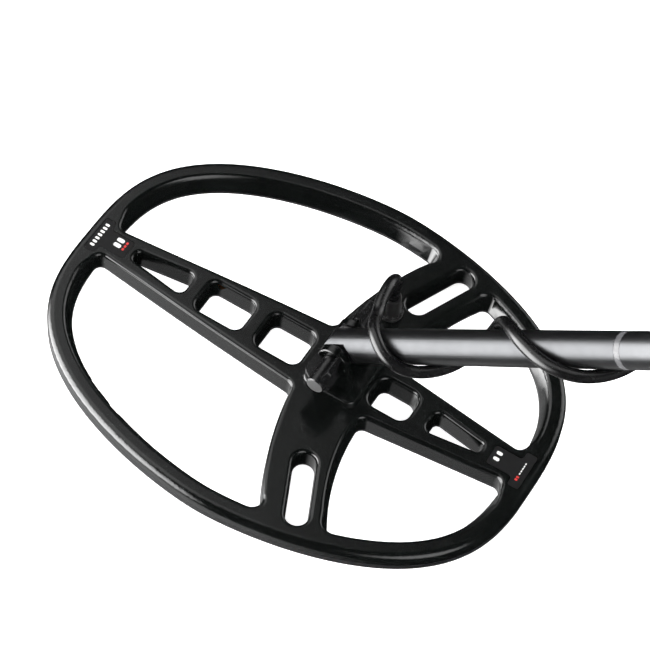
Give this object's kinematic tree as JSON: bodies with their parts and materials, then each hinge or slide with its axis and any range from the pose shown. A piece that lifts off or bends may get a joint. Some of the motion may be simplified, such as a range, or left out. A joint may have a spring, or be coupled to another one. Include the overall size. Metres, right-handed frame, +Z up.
{
  "type": "metal detector",
  "caption": "Hand-held metal detector: open oval search coil on a tilting stem, telescoping shaft with wrapped cable, pistol grip, display pod, battery box and arm cuff.",
  "frame": {"origin": "on the flat sole of the search coil, straight below the tilt bolt", "axes": "+Z up from the sole, +X from the coil's toe to its heel and up the shaft's lean, +Y to the side the tilt bolt's head is on"},
  "size_m": [0.9334, 0.216, 0.7579],
  "materials": {
    "coil_housing": "gloss moulded",
    "skid_plastic": "satin moulded",
    "potting_strip": "matt",
    "copper_winding": "enamelled wire",
    "label_film": "smooth film",
    "black_rubber": "matt",
    "fastener_plastic": "semi gloss moulded",
    "stem_finish": "gloss",
    "ring_trim": "satin",
    "stem_tube": "anodised dark grey",
    "shaft_tube": "anodised black",
    "bush_plastic": "matt",
    "collar_plastic": "textured",
    "lever_plastic": "satin",
    "pin_steel": "bright",
    "cable_jacket": "smooth jacket",
    "grip_plastic": "fine texture",
    "pod_plastic": "fine texture",
    "board_green": "solder mask",
    "mat_rubber": "translucent silicone",
    "speaker_frame": "paper cone, steel frame",
    "lens_clear": "clear",
    "screen_glass": "grey green",
    "button_rubber": "soft touch",
    "trigger_plastic": "satin",
    "connector_metal": "knurled",
    "plug_plastic": "matt",
    "cell_wrap": "printed sleeve",
    "contact_steel": "nickel plated",
    "box_plastic": "fine texture",
    "cuff_plastic": "fine texture",
    "pad_foam": "knitted face over foam"
  },
  "bodies": {
    "main_frame": {"main_shaft": "shaft_tube", "shaft_bush": "bush_plastic", "shaft_end_cap": "black_rubber", "lock_collar": "collar_plastic", "lever_pin": "pin_steel", "grip_left": "grip_plastic", "grip_right": "grip_plastic", "grip_sleeve": "black_rubber", "grip_screws": "pin_steel", "trigger_pin": "pin_steel", "coil_socket": "connector_metal", "coil_plug": "plug_plastic", "headphone_socket": "plug_plastic", "pod_back": "pod_plastic", "pod_front": "pod_plastic", "circuit_board": "board_green", "button_mat": "mat_rubber", "speaker": "speaker_frame", "pod_screws": "pin_steel", "display_lens": "lens_clear", "lcd_screen": "screen_glass", "battery_box": "box_plastic", "door_pin": "pin_steel", "battery_cells": "cell_wrap", "contact_plates": "contact_steel", "contact_springs": "contact_steel", "cable_travel_slack": "cable_jacket", "cable_upper_wrap": "cable_jacket", "upper_cable_clip": "collar_plastic"},
    "lower_stem": {"stem_end": "stem_finish", "stem_ring": "ring_trim", "lower_tube": "stem_tube", "stem_guide": "bush_plastic", "cable_lower_wrap": "cable_jacket", "lower_cable_clip": "collar_plastic"},
    "coil": {"coil_shell": "coil_housing", "skid_cover": "skid_plastic", "coil_floor": "potting_strip", "transmit_winding": "copper_winding", "receive_winding": "copper_winding", "label_plates": "label_film", "cable_gland": "black_rubber", "tilt_bolt": "fastener_plastic", "tilt_washers": "black_rubber", "cable_tilt_slack": "cable_jacket"},
    "nut": {"wing_nut": "fastener_plastic"},
    "lever": {"lock_lever": "lever_plastic"},
    "ring": {"plug_ring": "connector_metal"},
    "finger_trigger": {"trigger": "trigger_plastic"},
    "key_1": {"button_1": "button_rubber"},
    "key_2": {"button_2": "button_rubber"},
    "key_3": {"button_3": "button_rubber"},
    "key_4": {"button_4": "button_rubber"},
    "door": {"battery_door": "box_plastic"},
    "cuff": {"arm_cuff": "cuff_plastic", "cuff_pad": "pad_foam", "cuff_clamp": "cuff_plastic", "cuff_screws": "pin_steel"},
    "cuff_lock": {"cuff_knob": "fastener_plastic"}
  },
  "joints": [
    {"name": "stem_slide", "type": "slide", "parent": "main_frame", "child": "lower_stem", "axis": [0.7536, 0, 0.6574], "range_m": [-0.06, 0.15], "deforming": ["cable_travel_slack"]},
    {"name": "coil_tilt", "type": "hinge", "parent": "lower_stem", "child": "coil", "pos_m": [0, 0, 0.036], "axis": [0, 1, 0], "range_deg": [-41, 95], "deforming": ["cable_tilt_slack"]},
    {"name": "nut_turn", "type": "hinge", "parent": "coil", "child": "nut", "pos_m": [0, -0.021, 0.036], "axis": [0, 1, 0], "continuous": true},
    {"name": "lever_swing", "type": "hinge", "parent": "main_frame", "child": "lever", "pos_m": [0.32385, 0, 0.28998], "axis": [0, 1, 0], "range_deg": [0, 110]},
    {"name": "ring_turn", "type": "hinge", "parent": "main_frame", "child": "ring", "pos_m": [0.48275, 0, 0.48964], "axis": [0.7536, 0, 0.6574], "continuous": true},
    {"name": "trigger_pull", "type": "hinge", "parent": "main_frame", "child": "finger_trigger", "pos_m": [0.45167, 0, 0.61696], "axis": [0, 1, 0], "range_deg": [-12, 0], "stiffness_Nm_per_rad": 0.1},
    {"name": "key_1_press", "type": "slide", "parent": "main_frame", "child": "key_1", "axis": [-0.0157, 0, -0.9999], "range_m": [0, 0.0014], "stiffness_N_per_m": 400},
    {"name": "key_2_press", "type": "slide", "parent": "main_frame", "child": "key_2", "axis": [-0.0157, 0, -0.9999], "range_m": [0, 0.0014], "stiffness_N_per_m": 400},
    {"name": "key_3_press", "type": "slide", "parent": "main_frame", "child": "key_3", "axis": [-0.0157, 0, -0.9999], "range_m": [0, 0.0014], "stiffness_N_per_m": 400},
    {"name": "key_4_press", "type": "slide", "parent": "main_frame", "child": "key_4", "axis": [-0.0157, 0, -0.9999], "range_m": [0, 0.0014], "stiffness_N_per_m": 400},
    {"name": "door_open", "type": "hinge", "parent": "main_frame", "child": "door", "pos_m": [0.64116, 0, 0.53547], "axis": [0, 1, 0], "range_deg": [0, 110]},
    {"name": "cuff_slide", "type": "slide", "parent": "main_frame", "child": "cuff", "axis": [0.7536, 0, 0.6574], "range_m": [-0.05, 0.014]},
    {"name": "cuff_lock_turn", "type": "hinge", "parent": "cuff", "child": "cuff_lock", "pos_m": [0.72568, -0.02, 0.66905], "axis": [0, 1, 0], "continuous": true}
  ]
}
